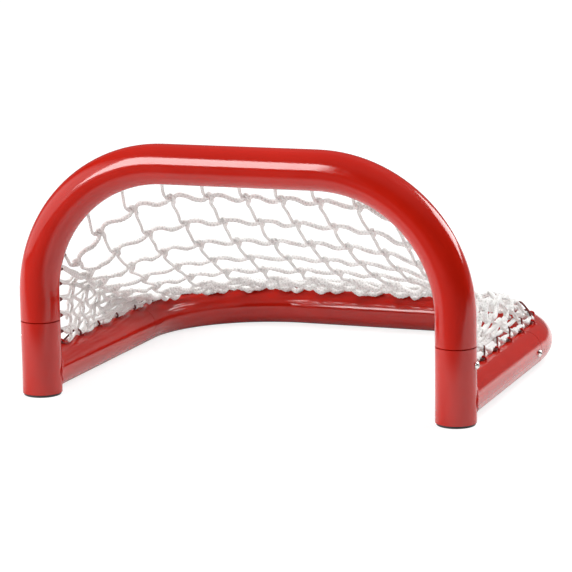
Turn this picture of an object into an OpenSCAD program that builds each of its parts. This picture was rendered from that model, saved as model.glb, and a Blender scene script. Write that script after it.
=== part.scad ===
// Low steel hockey goal: a bent front arch and a bent base frame that plug together and
// are held by four screws, with a knotted net laced to small welded eyelets.
// Millimetres, +Z up, the goal mouth faces -Y. The origin is on the floor, in the middle
// of the footprint.

/* [Frame] */
// Distance between the axes of the two legs
goal_width = 412; // [340:1:700]
// Height of the top bar's axis above the floor
goal_height = 227; // [212:1:360]
// Distance from the legs' axes to the back tube's axis
goal_depth = 382; // [350:1:600]
// Outside diameter of the tube
tube_d = 38; // [30:0.5:45]
// Wall of the tube
tube_wall = 1.5; // [1:0.1:2.5]
// Bend radius of the arch's two corners, on the tube's axis
arch_bend_r = 130; // [60:1:150]
// Bend radius of the base's two corners, on the tube's axis
base_bend_r = 130; // [60:1:150]

/* [Sleeve joints] */
// Height of the seam between arch and leg
leg_seam_z = 72; // [62:0.5:76]
// Distance of the seam between arm and back frame behind the leg's axis
arm_seam_y = 231; // [120:1:245]
// Length of the swaged end that enters the other tube
spigot_length = 40; // [25:1:50]
// Radial clearance of the swaged end in the other tube
spigot_clearance = 0.15; // [0.05:0.01:0.4]
// Length of the step from the full tube to its swaged end
swage_step = 1.2; // [0.6:0.1:3]

/* [Screws] */
// Shank diameter
screw_d = 4; // [3:0.5:5]
// Length under the head
screw_length = 9; // [7:0.5:12]
// Head diameter
screw_head_d = 7; // [5.5:0.5:9]
// Head height
screw_head_h = 2.4; // [1.6:0.1:3.5]
// Width of the slots of the cross recess
recess_width = 1; // [0.6:0.1:1.4]
// Distance of the leg screw below its seam
leg_screw_drop = 16; // [10:0.5:24]
// Distance of the arm screw in front of its seam
arm_screw_drop = 11; // [8:0.5:24]
// Radial clearance of the shank in the outer tube
screw_clearance = 0.2; // [0.05:0.05:0.5]

/* [Foot caps] */
// Thickness of the flange that stands on the floor
cap_flange = 2.5; // [1.5:0.1:6]
// How far the flange stays inside the tube's outline
cap_setback = 1; // [0.3:0.1:2]
// Height of the plug inside the leg
cap_plug_h = 16; // [10:0.5:24]
// Wall of the plug and of its closed end
cap_wall = 1.8; // [1.2:0.1:3]
// Number of sealing fins round the plug
cap_fins = 3; // [2:1:4]
// Clearance of the fins in the leg
cap_clearance = 0.1; // [0.05:0.01:0.3]

/* [Lacing eyelets] */
// Diameter of the eyelet wire
eyelet_wire_d = 2; // [1.4:0.1:3]
// Mean radius of the eyelet's round top
eyelet_r = 3; // [2.8:0.1:5]
// Height of the eyelet's straight legs
eyelet_leg = 0.8; // [0.5:0.1:3]
// Eyelets along the base, which the ones along the arch match in number
eyelet_count = 23; // [19:2:27]

/* [Net] */
// Meshes between the arch and the back tube
net_rows = 9; // [7:1:10]
// Diameter of the net's cord
net_cord_d = 3.5; // [2:0.1:4]
// Length of a knot, where two cords run side by side
knot_length = 8.5; // [7:0.5:9]
// Drop of the middle of the net below a straight line
net_sag = 32; // [5:1:50]
// Pull along the rows, as a share of the pull from arch to base
row_tension = 0.12; // [0.02:0.01:0.5]
// Height of the lowest tie on a leg
leg_tie_z = 56; // [54:0.5:66]
// Path length from the foot to the tie where the net's front row ends
corner_tie = 134; // [120:1:150]
// Rows by which the net's side edge is cut back for each column towards the foot
side_cut = 1.25; // [1:0.25:1.5]
// How much wider the ties of the arch stand towards its corners
tie_spread = 0.26; // [0:0.01:0.5]
// Height of the net's edge knots above the tube's surface
tie_height = 7; // [6:0.5:10]
// Distance of the edge knots from the tube's crest line, towards the inside
tie_inset = 7; // [5:0.5:10]

/* [Lace] */
// Diameter of the lace
lace_d = 2; // [1.4:0.1:2.4]
// Clearance between the lace and the cords it goes round
lace_clearance = 0.25; // [0.2:0.05:0.6]

/* [Hidden] */

$fn = 96;
cut = 1; // overrun of a cutter past the face it opens

// Tube and frame
tube_r = tube_d / 2;
bore_r = tube_r - tube_wall;
spigot_r = bore_r - spigot_clearance;
front_y = -goal_depth / 2;
leg_x = goal_width / 2;
arm_z = cap_flange + tube_r;                  // the arm is flush with the leg's lower end
base_drop = arm_z - tube_r;                   // the back tube lies on the floor
base_run = norm([goal_depth, base_drop]);
base_tilt = atan2(base_drop, goal_depth);
// Both straights end on a grid of 1/1024 mm, which 2D and 3D hold alike, so that they meet
// the bends exactly.
function on_grid(v) = round(v * 1024) / 1024;
arch_straight = on_grid(goal_height - arch_bend_r);    // from the floor to the arch's bends
base_straight = on_grid(base_run - base_bend_r);       // from the leg's axis to the base's bends
arm_start = 2;                                // the fish-mouth's tips are blunted here

// Path along a U of two straights, two quarter bends and a crossbar
function quarter(bend_r) = PI * bend_r / 2;
function u_length(straight, bend_r) = 2 * (straight + quarter(bend_r)) + goal_width - 2 * bend_r;

// Point of the U at path length s, in its own plane, with the heading in degrees
function u_point(s, straight, bend_r) =
    let (total = u_length(straight, bend_r), mirrored = s > total / 2, d = mirrored ? total - s : s)
    let (turn = (d - straight) / bend_r * 180 / PI, inner_x = leg_x - bend_r)
    let (p = d < straight ? [-leg_x, d, 90]
           : turn < 90 ? [-inner_x - bend_r * cos(turn), straight + bend_r * sin(turn), 90 - turn]
           : [-inner_x + d - straight - quarter(bend_r), straight + bend_r, 0])
    mirrored ? [-p[0], p[1], -p[2]] : p;

arch_len = u_length(arch_straight, arch_bend_r);
base_len = u_length(base_straight, base_bend_r);
function arch_point(s) = u_point(s, arch_straight, arch_bend_r);
function base_point(s) = u_point(s, base_straight, base_bend_r);

// From the arch's plane and from the base's plane into the goal. In each plane, x and y
// follow the U and out is the distance from the plane, on the side where the lace runs.
function in_arch(x, y, out) = [x, front_y + out, y];
function in_base(x, y, out) = [
    x,
    front_y + y * cos(base_tilt) + out * sin(base_tilt),
    arm_z - y * sin(base_tilt) + out * cos(base_tilt)
];

// A point beside the tube, in the frame of its path: along, towards the inside, and out
function beside(p, along, inside, out, is_arch) =
    let (x = p[0] + along * cos(p[2]) + inside * sin(p[2]))
    let (y = p[1] + along * sin(p[2]) - inside * cos(p[2]))
    is_arch ? in_arch(x, y, out) : in_base(x, y, out);

// Ties: one edge knot for each column on the arch and one on the base
columns = eyelet_count - 1;
mid_column = (columns + 1) / 2;
base_pitch = base_len / (eyelet_count + 1);
front_column = floor(columns / 4) + 1;        // first column that reaches the front row
front_reach = mid_column - front_column;
leg_tie_step = (corner_tie - leg_tie_z) / (front_column - 1);

function left_arch_tie(i) = i < front_column
    ? leg_tie_z + (i - 1) * leg_tie_step
    : let (t = (mid_column - i) / front_reach)
      arch_len / 2 - (arch_len / 2 - corner_tie) * ((1 - tie_spread) * t + tie_spread * t * t);
function arch_tie(i) = i > mid_column ? arch_len - left_arch_tie(columns + 1 - i) : left_arch_tie(i);
function base_tie(i) = (i + 0.5) * base_pitch;

function arch_eyelet(k) = k == 1 ? arch_tie(1) - leg_tie_step / 2
    : k == eyelet_count ? arch_tie(columns) + leg_tie_step / 2
    : (arch_tie(k - 1) + arch_tie(k)) / 2;
function base_eyelet(k) = k * base_pitch;

function arch_knot(i) = beside(arch_point(arch_tie(i)), 0, tie_inset, tube_r + tie_height, true);
function base_knot(i) = beside(base_point(base_tie(i)), 0, tie_inset, tube_r + tie_height, false);

// The net's grid: column i from the left, row j from the arch. The front row ends in the
// arch's corners. Beside it each column starts lower down on the leg and is shorter.
function beyond_front(i) = max(0, front_column - i, i - (columns + 1 - front_column));
function first_row(i) = ceil(side_cut * beyond_front(i));
function in_net(i, j) = i >= 1 && i <= columns && j >= first_row(i) && j <= net_rows;
function tied(i, j) = j == first_row(i) || j == net_rows;

// Each knot settles where the pull of its four cords carries its weight. The short columns
// at the sides are drawn tight and hang straight.
function knot_weight(i) = beyond_front(i) > 0 ? 0 : 8 * net_sag / (net_rows * net_rows);
settle_steps = 90;
function first_guess(i, j) =
    let (top = first_row(i), n = net_rows - top, k = j - top, a = arch_knot(i), b = base_knot(i))
    a + (b - a) * k / n - [0, 0, knot_weight(i) / 2 * k * (n - k)];
function pull(grid, i, j, q) = in_net(i, j) ? [q * grid[i][j], q] : [[0, 0, 0], 0];
function settled(grid, i, j) =
    let (n = [pull(grid, i - 1, j, row_tension), pull(grid, i + 1, j, row_tension),
              pull(grid, i, j - 1, 1), pull(grid, i, j + 1, 1)])
    let (force = n[0][0] + n[1][0] + n[2][0] + n[3][0], stiff = n[0][1] + n[1][1] + n[2][1] + n[3][1])
    (force - [0, 0, knot_weight(i)]) / stiff;
function settle(grid, steps) = steps == 0 ? grid : settle([
    for (i = [0:columns + 1]) [
        for (j = [0:net_rows]) !in_net(i, j) || tied(i, j) ? grid[i][j] : settled(grid, i, j)
    ]
], steps - 1);
start_grid = [
    for (i = [0:columns + 1]) [for (j = [0:net_rows]) in_net(i, j) ? first_guess(i, j) : [0, 0, 0]]
];
knots = settle(start_grid, settle_steps);

// Directions at a knot: along its row, down its column, and out of the net
function unit(v) = v / norm(v);
function near(i, j, i2, j2) = in_net(i2, j2) ? knots[i2][j2] : knots[i][j];
function heading_at(p, is_arch) = beside(p, 1, 0, 0, is_arch) - beside(p, 0, 0, 0, is_arch);
function row_dir(i, j) = j == first_row(i) ? heading_at(arch_point(arch_tie(i)), true)
    : j == net_rows ? heading_at(base_point(base_tie(i)), false)
    : unit(near(i, j, i + 1, j) - near(i, j, i - 1, j));
function column_dir(i, j) = unit(near(i, j, i, j + 1) - near(i, j, i, j - 1));
function out_dir(i, j) = unit(cross(row_dir(i, j), column_dir(i, j)));

// Shortest cord at a knot, which limits the knot's length where the net is crowded
function cord_to(i, j, i2, j2) = in_net(i2, j2) ? norm(knots[i2][j2] - knots[i][j]) : 1000;
function room(i, j) = min(cord_to(i, j, i - 1, j), cord_to(i, j, i + 1, j),
                          cord_to(i, j, i, j - 1), cord_to(i, j, i, j + 1));
function half_knot(i, j) = tied(i, j) ? knot_length / 2 : min(knot_length / 2, room(i, j) / 4);

// A knot has a left end (side -1) and a right end (side 1), where the row's cords meet it.
// The cord from the row before arrives at its left end, and the cord to the next row leaves
// from its right end. Where the base runs forward they change places, so that none folds back.
last_column = columns + 1 - front_column;
function up_side(i) = base_point(base_tie(i))[2] < -45 ? 1 : -1;
function down_side(i) = -up_side(i);
function knot_end(c) = knots[c[0]][c[1]] + c[2] * half_knot(c[0], c[1]) * row_dir(c[0], c[1]);

// Corners round one mesh, and round the whole net, each as [column, row, side]
function flat(rows) = [for (r = rows) each r];
function through(i, j, from, to) = from == to ? [[i, j, to]] : [[i, j, from], [i, j, to]];
function mesh_loop(i, j) = concat(
    through(i, j, down_side(i), 1), through(i + 1, j, -1, down_side(i + 1)),
    through(i + 1, j + 1, up_side(i + 1), -1), through(i, j + 1, 1, up_side(i))
);
function left_side(i) = let (j = first_row(i), down_to = i == 1 ? net_rows : first_row(i - 1))
    concat([[i, j, 1], [i, j, -1], [i, j, 1]],
           flat([for (k = [j + 1:1:down_to - 1]) [[i, k, -1], [i, k, 1]]]),
           [[i, down_to, -1]]);
function right_side(i) =
    let (up_from = i == columns ? net_rows : first_row(i + 1), top = first_row(i))
    flat([for (k = [up_from:-1:top]) concat(
        k == up_from || down_side(i) == 1 ? [] : [[i, k, -1]],
        [[i, k, 1]],
        k > top && up_side(i) == 1 ? [] : [[i, k, -1]]
    )]);
net_outline = concat(
    flat([for (i = [last_column - 1:-1:front_column + 1]) [[i, 0, 1], [i, 0, -1]]]),
    flat([for (i = [front_column:-1:1]) left_side(i)]),
    flat([for (i = [1:columns - 1]) [[i, net_rows, 1], [i + 1, net_rows, -1]]]),
    flat([for (i = [columns:-1:last_column]) right_side(i)])
);
meshes = [
    for (i = [1:columns - 1]) for (j = [0:net_rows - 1])
        if (in_net(i, j) && in_net(i + 1, j)) mesh_loop(i, j)
];
loops = concat([net_outline], meshes);

// The net is one closed skin: a ridge above and below each knot end, and beside the cords
// one ring of corners for each loop, drawn in from the cord's axis.
cord_half = net_cord_d * 0.56; // half diagonal of a square cord of the round cord's section
function ridge_index(c) = 2 * ((c[0] * (net_rows + 1) + c[1]) * 2 + (c[2] + 1) / 2);
ridge_points = [
    for (i = [0:columns + 1]) for (j = [0:net_rows]) for (side = [-1, 1]) for (up = [-1, 1])
        in_net(i, j) ? knot_end([i, j, side]) + up * cord_half * out_dir(i, j) : [0, 0, 0]
];
function inner_corner(before, c, after) =
    let (p = knot_end(c), out = out_dir(c[0], c[1]))
    let (d1 = unit(p - knot_end(before)), d2 = unit(knot_end(after) - p))
    let (n1 = cross(out, d1), n2 = cross(out, d2), turn_back = before == after)
    turn_back ? p + cord_half * d1
              : p + cord_half * (n1 + n2) / max(1, norm(n1 + n2) * norm(n1 + n2) / 2);
loop_points = [
    for (l = loops) let (n = len(l)) for (k = [0:n - 1])
        inner_corner(l[(k + n - 1) % n], l[k], l[(k + 1) % n])
];
loop_starts = [
    for (k = 0, at = len(ridge_points); k < len(loops); at = at + len(loops[k]), k = k + 1) at
];
// The two strips between a cord's ridges, from end a to end b, and its corners. A strip that
// twists is split along the diagonal that bulges. At a loose end, where the loop turns back,
// no diagonal may run to the corner that both its strips share.
net_points = concat(ridge_points, loop_points);
function split_strip(a, b, c, d, from_a) = from_a ? [[a, b, c], [a, c, d]] : [[a, b, d], [b, c, d]];
function side_faces(before, a, b, after, corner_a, corner_b) =
    let (twist = cross(out_dir(a[0], a[1]), out_dir(b[0], b[1])) * (knot_end(b) - knot_end(a)))
    let (over = after == a || (before != b && twist < 0))
    let (under = before == b || (after != a && twist < 0))
    concat(
        split_strip(corner_a, corner_b, ridge_index(b) + 1, ridge_index(a) + 1, over),
        split_strip(ridge_index(a), ridge_index(b), corner_b, corner_a, under)
    );
net_faces = flat([
    for (k = [0:len(loops) - 1]) let (l = loops[k], n = len(l), start = loop_starts[k])
        flat([for (at = [0:n - 1]) let (next = (at + 1) % n)
            side_faces(l[(at + n - 1) % n], l[at], l[next], l[(at + 2) % n], start + at, start + next)])
]);

// Lace: straight through each eyelet, and round each edge knot in a half turn. Each point
// of the route is [place, radius].
lace_r = lace_d / 2;
lace_sides = 6;
eyelet_hole_r = eyelet_r - eyelet_wire_d / 2;
eyelet_centre = tube_r + (eyelet_leg + eyelet_hole_r) / 2;
eyelet_pass = eyelet_wire_d / 2 + lace_r;
wrap_r = cord_half + lace_r + lace_clearance;
wrap_along = 2.5;
end_knot_r = 1.1 * lace_d;
end_knot_out = tube_r + end_knot_r + lace_clearance;
end_knot = [[6.4, lace_r / 2], [5.4, end_knot_r], [4, end_knot_r], [3, lace_r]];

function lace_end(p, sign, is_arch) =
    [for (e = end_knot) [beside(p, sign * e[0], 0, end_knot_out, is_arch), e[1]]];
function through_eyelet(p, is_arch) =
    [for (along = [-eyelet_pass, eyelet_pass]) [beside(p, along, 0, eyelet_centre, is_arch), lace_r]];
function round_knot(p, turn, is_arch) =
    let (up = tube_r + tie_height, away = unit([tie_inset, up - eyelet_centre]))
    [for (angle = [0:45:180])
        let (a = wrap_r * sin(angle), b = turn * wrap_r * cos(angle))
        [beside(p, wrap_along * (angle / 90 - 1), tie_inset + a * away[0] - b * away[1],
                up + a * away[1] + b * away[0], is_arch), lace_r]];
function lace_route(is_arch) =
    let (eyes = [for (k = [1:eyelet_count])
        is_arch ? arch_point(arch_eyelet(k)) : base_point(base_eyelet(k))])
    let (ties = [for (i = [1:columns]) is_arch ? arch_point(arch_tie(i)) : base_point(base_tie(i))])
    let (end = lace_end(eyes[columns], 1, is_arch))
    concat(
        lace_end(eyes[0], -1, is_arch),
        through_eyelet(eyes[0], is_arch),
        flat([for (i = [1:columns]) concat(
            round_knot(ties[i - 1], -up_side(i), is_arch),
            through_eyelet(eyes[i], is_arch)
        )]),
        [for (k = [len(end) - 1:-1:0]) end[k]]
    );

// A tube of lace_sides sides through the points of a route, with a radius for each
module swept(route, side_dir) {
    n = len(route);
    points = flat([for (k = [0:n - 1])
        let (t = unit(route[min(k + 1, n - 1)][0] - route[max(k - 1, 0)][0]))
        let (u = unit(cross(side_dir, t)), v = cross(t, u))
        [for (s = [0:lace_sides - 1]) let (a = 360 * s / lace_sides)
            route[k][0] + route[k][1] * (cos(a) * u + sin(a) * v)]]);
    skin = [for (k = [0:n - 2]) for (s = [0:lace_sides - 1])
        let (a = k * lace_sides + s, b = k * lace_sides + (s + 1) % lace_sides)
        each [[a, b + lace_sides, b], [a, a + lace_sides, b + lace_sides]]];
    start_cap = [[for (s = [0:lace_sides - 1]) s]];
    end_cap = [[for (s = [lace_sides - 1:-1:0]) (n - 1) * lace_sides + s]];
    polyhedron(points, concat(skin, start_cap, end_cap));
}

// Places
module in_base_frame() translate([0, front_y, arm_z]) rotate([-base_tilt, 0, 0]) children();
module on_arch(s) {
    p = arch_point(s);
    translate([p[0], front_y, p[1]]) rotate([0, -p[2], 0]) rotate([-90, 0, 0]) children();
}
module on_base(s) {
    p = base_point(s);
    in_base_frame() translate([p[0], p[1], 0]) rotate([0, 0, p[2]]) children();
}

// The tube's section
module tube_section() difference() {
    circle(r = tube_r);
    circle(r = bore_r);
}

// A straight of tube along +Z up to height top, whose lower end, below the seam, is swaged
// to enter another tube
module swaged_straight(seam, top) {
    inner_r = spigot_r - tube_wall;
    step = seam + swage_step;
    low = seam - spigot_length;
    rotate_extrude() polygon([
        [inner_r, low], [spigot_r, low], [spigot_r, seam], [tube_r, step],
        [tube_r, top], [bore_r, top], [bore_r, step], [inner_r, seam]
    ]);
}

// A U of tube in the XY plane, open towards -Y, with swaged ends that a screw goes through
module swaged_u(straight, bend_r, seam, hole_y) {
    difference() {
        union() {
            for (side = [-1, 1]) {
                translate([side * leg_x, 0, 0]) rotate([-90, 0, 0]) swaged_straight(seam, straight);
                translate([side * (leg_x - bend_r), straight, 0]) rotate([0, 0, side > 0 ? 0 : 90])
                    rotate_extrude(angle = 90) translate([bend_r, 0]) tube_section();
            }
            translate([0, straight + bend_r, 0]) rotate([0, 90, 0])
                linear_extrude(2 * (leg_x - bend_r), center = true) tube_section();
        }
        for (side = [-1, 1]) translate([side * leg_x, hole_y, 0]) rotate([0, side * 90, 0])
            cylinder(d = screw_d, h = tube_d);
    }
}

module front_arch() {
    color("#c8281e")
    translate([0, front_y, 0]) rotate([90, 0, 0])
        swaged_u(arch_straight, arch_bend_r, leg_seam_z, leg_seam_z - leg_screw_drop);
}

module back_frame() {
    color("#c8281e")
    in_base_frame() swaged_u(base_straight, base_bend_r, arm_seam_y, arm_seam_y - arm_screw_drop);
}

module leg(side) {
    color("#c0241c")
    translate([side * leg_x, front_y, 0]) difference() {
        translate([0, 0, cap_flange]) cylinder(r = tube_r, h = leg_seam_z - cap_flange);
        cylinder(r = bore_r, h = leg_seam_z + cut);
        translate([0, 0, leg_seam_z - leg_screw_drop]) rotate([0, side * 90, 0])
            cylinder(r = screw_d / 2 + screw_clearance, h = tube_d);
    }
}

// The arm's front end is cut to the leg's round, where it is welded on
module arm(side) {
    color("#b8221a")
    difference() {
        in_base_frame() translate([side * leg_x, arm_start, 0]) difference() {
            rotate([-90, 0, 0]) cylinder(r = tube_r, h = arm_seam_y - arm_start);
            translate([0, -cut, 0]) rotate([-90, 0, 0]) cylinder(r = bore_r, h = arm_seam_y + cut);
            translate([0, arm_seam_y - arm_screw_drop - arm_start, 0]) rotate([0, side * 90, 0])
                cylinder(r = screw_d / 2 + screw_clearance, h = tube_d);
        }
        translate([side * leg_x, front_y, 0]) cylinder(r = tube_r, h = leg_seam_z);
    }
}

// A plastic plug with soft fins, closed below by the flange that the leg stands on
module foot_cap(side) {
    fin_r = bore_r - cap_clearance;
    fin_reach = 1.2;
    fin_margin = 2;
    plug_r = bore_r - fin_reach;
    flange_r = tube_r - cap_setback;
    edge = min(1.2, cap_flange / 2);
    fin_h = 1;
    fin_pitch = (cap_plug_h - 2 * fin_margin) / cap_fins;
    color("#202020")
    translate([side * leg_x, front_y, 0]) difference() {
        rotate_extrude() union() {
            translate([0, edge]) square([flange_r, cap_flange - edge]);
            square([flange_r - edge, cap_flange]);
            translate([flange_r - edge, edge]) circle(r = edge, $fn = 48);
            square([plug_r, cap_flange + cap_plug_h]);
            for (k = [0:cap_fins - 1])
                translate([0, cap_flange + fin_margin + k * fin_pitch]) square([fin_r, fin_h]);
        }
        translate([0, 0, cap_flange + cap_wall]) cylinder(r = plug_r - cap_wall, h = cap_plug_h);
    }
}

// Pan head on +Z at z = 0, shank down, with a cross recess and a short pointed tip
module pan_screw() {
    crown = screw_head_h * 0.55;
    recess_span = screw_head_d * 0.56;
    recess_depth = screw_head_h * 0.6;
    tip = screw_d / 2;
    color("#d8d8d6")
    difference() {
        union() {
            cylinder(d = screw_head_d, h = screw_head_h - crown);
            translate([0, 0, screw_head_h - crown])
                cylinder(d1 = screw_head_d, d2 = screw_head_d * 0.62, h = crown);
            translate([0, 0, tip - screw_length]) cylinder(d = screw_d, h = screw_length - tip);
            translate([0, 0, -screw_length]) cylinder(d1 = screw_d * 0.3, d2 = screw_d, h = tip);
        }
        for (a = [0, 90]) rotate([0, 0, a])
            translate([-recess_span / 2, -recess_width / 2, screw_head_h - recess_depth])
                cube([recess_span, recess_width, recess_depth + cut]);
    }
}

module leg_screw(side) {
    translate([side * (leg_x + tube_r), front_y, leg_seam_z - leg_screw_drop])
        rotate([0, side * 90, 0]) pan_screw();
}

module arm_screw(side) {
    in_base_frame() translate([side * (leg_x + tube_r), arm_seam_y - arm_screw_drop, 0])
        rotate([0, side * 90, 0]) pan_screw();
}

// A loop of wire that stands on the tube, with its opening along the tube
module eyelet() {
    difference() {
        translate([0, 0, tube_r + eyelet_leg]) rotate([90, 0, 90]) {
            rotate_extrude(angle = 180) translate([eyelet_r, 0]) circle(d = eyelet_wire_d, $fn = 32);
            for (side = [-1, 1]) translate([side * eyelet_r, 0, 0]) rotate([90, 0, 0])
                cylinder(d = eyelet_wire_d, h = eyelet_leg + eyelet_r, $fn = 32);
        }
        rotate([0, 90, 0]) cylinder(r = tube_r, h = 4 * eyelet_wire_d, center = true);
    }
}

// The eyelets whose path length lies in a range, counted from the foot on either side
module eyelet_row(is_arch, low, high) {
    color("#a81c16")
    for (k = [1:eyelet_count]) {
        s = is_arch ? arch_eyelet(k) : base_eyelet(k);
        from_foot = min(s, (is_arch ? arch_len : base_len) - s);
        if (from_foot > low && from_foot <= high)
            if (is_arch) on_arch(s) eyelet(); else on_base(s) eyelet();
    }
}

module net() {
    color("#e6e2d8") polyhedron(net_points, net_faces);
}

module arch_lace() {
    color("#6a1c18") swept(lace_route(true), [0, 1, 0]);
}

module base_lace() {
    color("#6a1c18") swept(lace_route(false), [0, 0, 1]);
}

front_arch();
leg(-1);  // left_leg
leg(1);  // right_leg
arm(-1);  // left_arm
arm(1);  // right_arm
back_frame();
foot_cap(-1);  // left_foot_cap
foot_cap(1);  // right_foot_cap
leg_screw(-1);  // left_leg_screw
leg_screw(1);  // right_leg_screw
arm_screw(-1);  // left_arm_screw
arm_screw(1);  // right_arm_screw
eyelet_row(true, leg_seam_z, arch_len);  // arch_eyelets
eyelet_row(true, 0, leg_seam_z);  // leg_eyelets
eyelet_row(false, 0, arm_seam_y);  // arm_eyelets
eyelet_row(false, arm_seam_y, base_len);  // back_eyelets
net();
arch_lace();
base_lace();
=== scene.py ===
"""Looks of the low steel hockey goal: paint, plastic and zinc on the CAD frame, and a braided
net with twisted laces that replace the CAD's plain ones. Sizes are in millimetres, as in the
CAD, and become metres where a mesh is made. Those of the floor, lights and camera are in metres."""
import math

import bpy
import numpy as np
from mathutils import Matrix


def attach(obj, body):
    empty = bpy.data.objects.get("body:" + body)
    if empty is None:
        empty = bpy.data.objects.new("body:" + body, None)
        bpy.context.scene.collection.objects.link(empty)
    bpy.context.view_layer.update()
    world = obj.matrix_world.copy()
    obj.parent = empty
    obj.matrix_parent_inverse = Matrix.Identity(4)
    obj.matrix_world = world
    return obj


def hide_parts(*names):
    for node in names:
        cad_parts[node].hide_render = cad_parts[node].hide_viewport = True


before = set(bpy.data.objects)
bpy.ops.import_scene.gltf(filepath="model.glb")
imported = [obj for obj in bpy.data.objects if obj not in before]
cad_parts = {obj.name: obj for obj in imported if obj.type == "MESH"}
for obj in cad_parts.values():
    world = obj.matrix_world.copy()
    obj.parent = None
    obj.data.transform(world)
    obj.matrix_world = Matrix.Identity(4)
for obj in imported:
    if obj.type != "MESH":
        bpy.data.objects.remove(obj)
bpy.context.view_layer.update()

MM = 0.001

# ---------------------------------------------------------------- the CAD's sizes and rules

GOAL_WIDTH, GOAL_HEIGHT, GOAL_DEPTH = 412.0, 227.0, 382.0
TUBE_R, CAP_FLANGE = 19.0, 2.5
BEND_R = 130.0                      # of the arch's corners and of the base's
LEG_X, FRONT_Y = GOAL_WIDTH / 2, -GOAL_DEPTH / 2
ARM_Z = CAP_FLANGE + TUBE_R
BASE_TILT = math.atan2(CAP_FLANGE, GOAL_DEPTH)
ARM_START = 2.0                     # where the tips of the arm's cope are blunted

EYELETS, ROWS = 23, 9
COLUMNS = EYELETS - 1
EYELET_WIRE_R, EYELET_R, EYELET_LEG = 1.0, 3.0, 0.8
LEG_TIE_Z, CORNER_TIE, SIDE_CUT, TIE_SPREAD = 56.0, 134.0, 1.25, 0.26
TIE_HEIGHT, TIE_INSET = 7.0, 7.0
KNOT_LENGTH, NET_SAG, ROW_TENSION, SETTLE_STEPS = 8.5, 32.0, 0.12, 90
NET_CORD_D = 3.5
CORD_HALF = NET_CORD_D * 0.56       # half diagonal of the CAD's square cord
LACE_R, LACE_CLEARANCE = 1.0, 0.25

# The braid of the net's cord, and the lace's plies with the finer yarns in them: how many go
# round, and the length in which they repeat
BRAID_YARNS, BRAID_PITCH = 3, 3.6
FINE_YARNS, FINE_PITCH = 12, 1.1
LACE_PLIES, LACE_PLY_PITCH = 3, 3.2
LACE_YARNS, LACE_YARN_PITCH = 9, 1.3


def on_grid(v):
    """To 1/1024 mm, as the CAD rounds the ends of its straight tubes."""
    return round(v * 1024) / 1024


ARCH_STRAIGHT = on_grid(GOAL_HEIGHT - BEND_R)
BASE_STRAIGHT = on_grid(math.hypot(GOAL_DEPTH, CAP_FLANGE) - BEND_R)


def u_length(straight):
    """Path length of a U with two legs of this length, two bends and a bar."""
    return 2 * (straight + math.pi * BEND_R / 2) + GOAL_WIDTH - 2 * BEND_R


def u_point(s, straight):
    """Point of a U at path length s, in its own plane, with the heading in radians."""
    total = u_length(straight)
    mirrored = s > total / 2
    d = total - s if mirrored else s
    turn, inner_x = (d - straight) / BEND_R, LEG_X - BEND_R
    if d < straight:
        x, y, h = -LEG_X, d, math.pi / 2
    elif turn < math.pi / 2:
        x, y, h = -inner_x - BEND_R * math.cos(turn), straight + BEND_R * math.sin(turn), math.pi / 2 - turn
    else:
        x, y, h = -inner_x + d - straight - math.pi * BEND_R / 2, straight + BEND_R, 0.0
    return (-x, y, -h) if mirrored else (x, y, h)


ARCH_LEN, BASE_LEN = u_length(ARCH_STRAIGHT), u_length(BASE_STRAIGHT)


def in_plane(x, y, out, is_arch):
    """From the arch's or the base's plane into the goal."""
    if is_arch:
        return np.array([x, FRONT_Y + out, y])
    c, s = math.cos(BASE_TILT), math.sin(BASE_TILT)
    return np.array([x, FRONT_Y + y * c + out * s, ARM_Z - y * s + out * c])


def beside(s, along, inside, out, is_arch):
    """A point beside the tube: along its path, towards the inside, and out of its plane."""
    x, y, h = u_point(s, ARCH_STRAIGHT if is_arch else BASE_STRAIGHT)
    return in_plane(x + along * math.cos(h) + inside * math.sin(h),
                    y + along * math.sin(h) - inside * math.cos(h), out, is_arch)


MID_COLUMN = (COLUMNS + 1) / 2
FRONT_COLUMN = COLUMNS // 4 + 1
LEG_TIE_STEP = (CORNER_TIE - LEG_TIE_Z) / (FRONT_COLUMN - 1)
BASE_PITCH = BASE_LEN / (EYELETS + 1)


def tie(i, is_arch):
    """Path length of the edge knot of column i, on the arch or on the base."""
    if not is_arch:
        return (i + 0.5) * BASE_PITCH
    if i > MID_COLUMN:
        return ARCH_LEN - tie(COLUMNS + 1 - i, True)
    if i < FRONT_COLUMN:
        return LEG_TIE_Z + (i - 1) * LEG_TIE_STEP
    t = (MID_COLUMN - i) / (MID_COLUMN - FRONT_COLUMN)
    return ARCH_LEN / 2 - (ARCH_LEN / 2 - CORNER_TIE) * ((1 - TIE_SPREAD) * t + TIE_SPREAD * t * t)


def eyelet_at(k, is_arch):
    """Path length of eyelet k: between the edge knots, and one before the first and after the last."""
    if not is_arch:
        return k * BASE_PITCH
    if k == 1:
        return tie(1, True) - LEG_TIE_STEP / 2
    if k == EYELETS:
        return tie(COLUMNS, True) + LEG_TIE_STEP / 2
    return (tie(k - 1, True) + tie(k, True)) / 2


def beyond_front(i):
    """How many columns i lies beyond the net's front row, towards a foot."""
    return max(0, FRONT_COLUMN - i, i - (COLUMNS + 1 - FRONT_COLUMN))


def first_row(i):
    """The row that is tied to the arch in column i."""
    return math.ceil(SIDE_CUT * beyond_front(i))


def knot_weight(i):
    return 0.0 if beyond_front(i) > 0 else 8 * NET_SAG / (ROWS * ROWS)


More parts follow.
